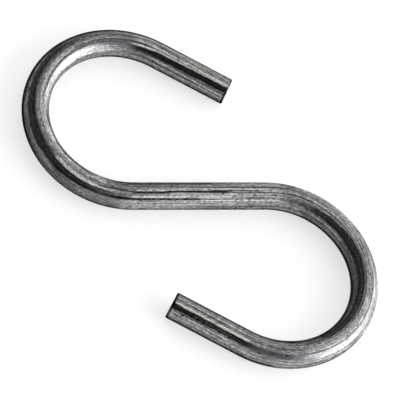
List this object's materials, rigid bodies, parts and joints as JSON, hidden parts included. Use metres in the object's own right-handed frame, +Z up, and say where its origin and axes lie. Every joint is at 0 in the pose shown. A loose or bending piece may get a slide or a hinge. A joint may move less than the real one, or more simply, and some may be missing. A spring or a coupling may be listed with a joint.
{
  "type": "s hook",
  "caption": "S-shaped hook bent from round steel wire: an open hook at each end of a straight shank, to link chain, rings and rails and to hang loads from them.",
  "frame": {"origin": "middle of the shank in plan, on the surface that the hook lies on", "axes": "+X along the line of pull through both crowns, +Z up from the surface and square to the plane of the S; the hook lies flat on its side"},
  "size_m": [0.0994, 0.057, 0.0064],
  "materials": {
    "steel": "bright drawn wire with fine lengthwise draw lines"
  },
  "bodies": {
    "root": {"hook": "steel"}
  },
  "joints": []
}
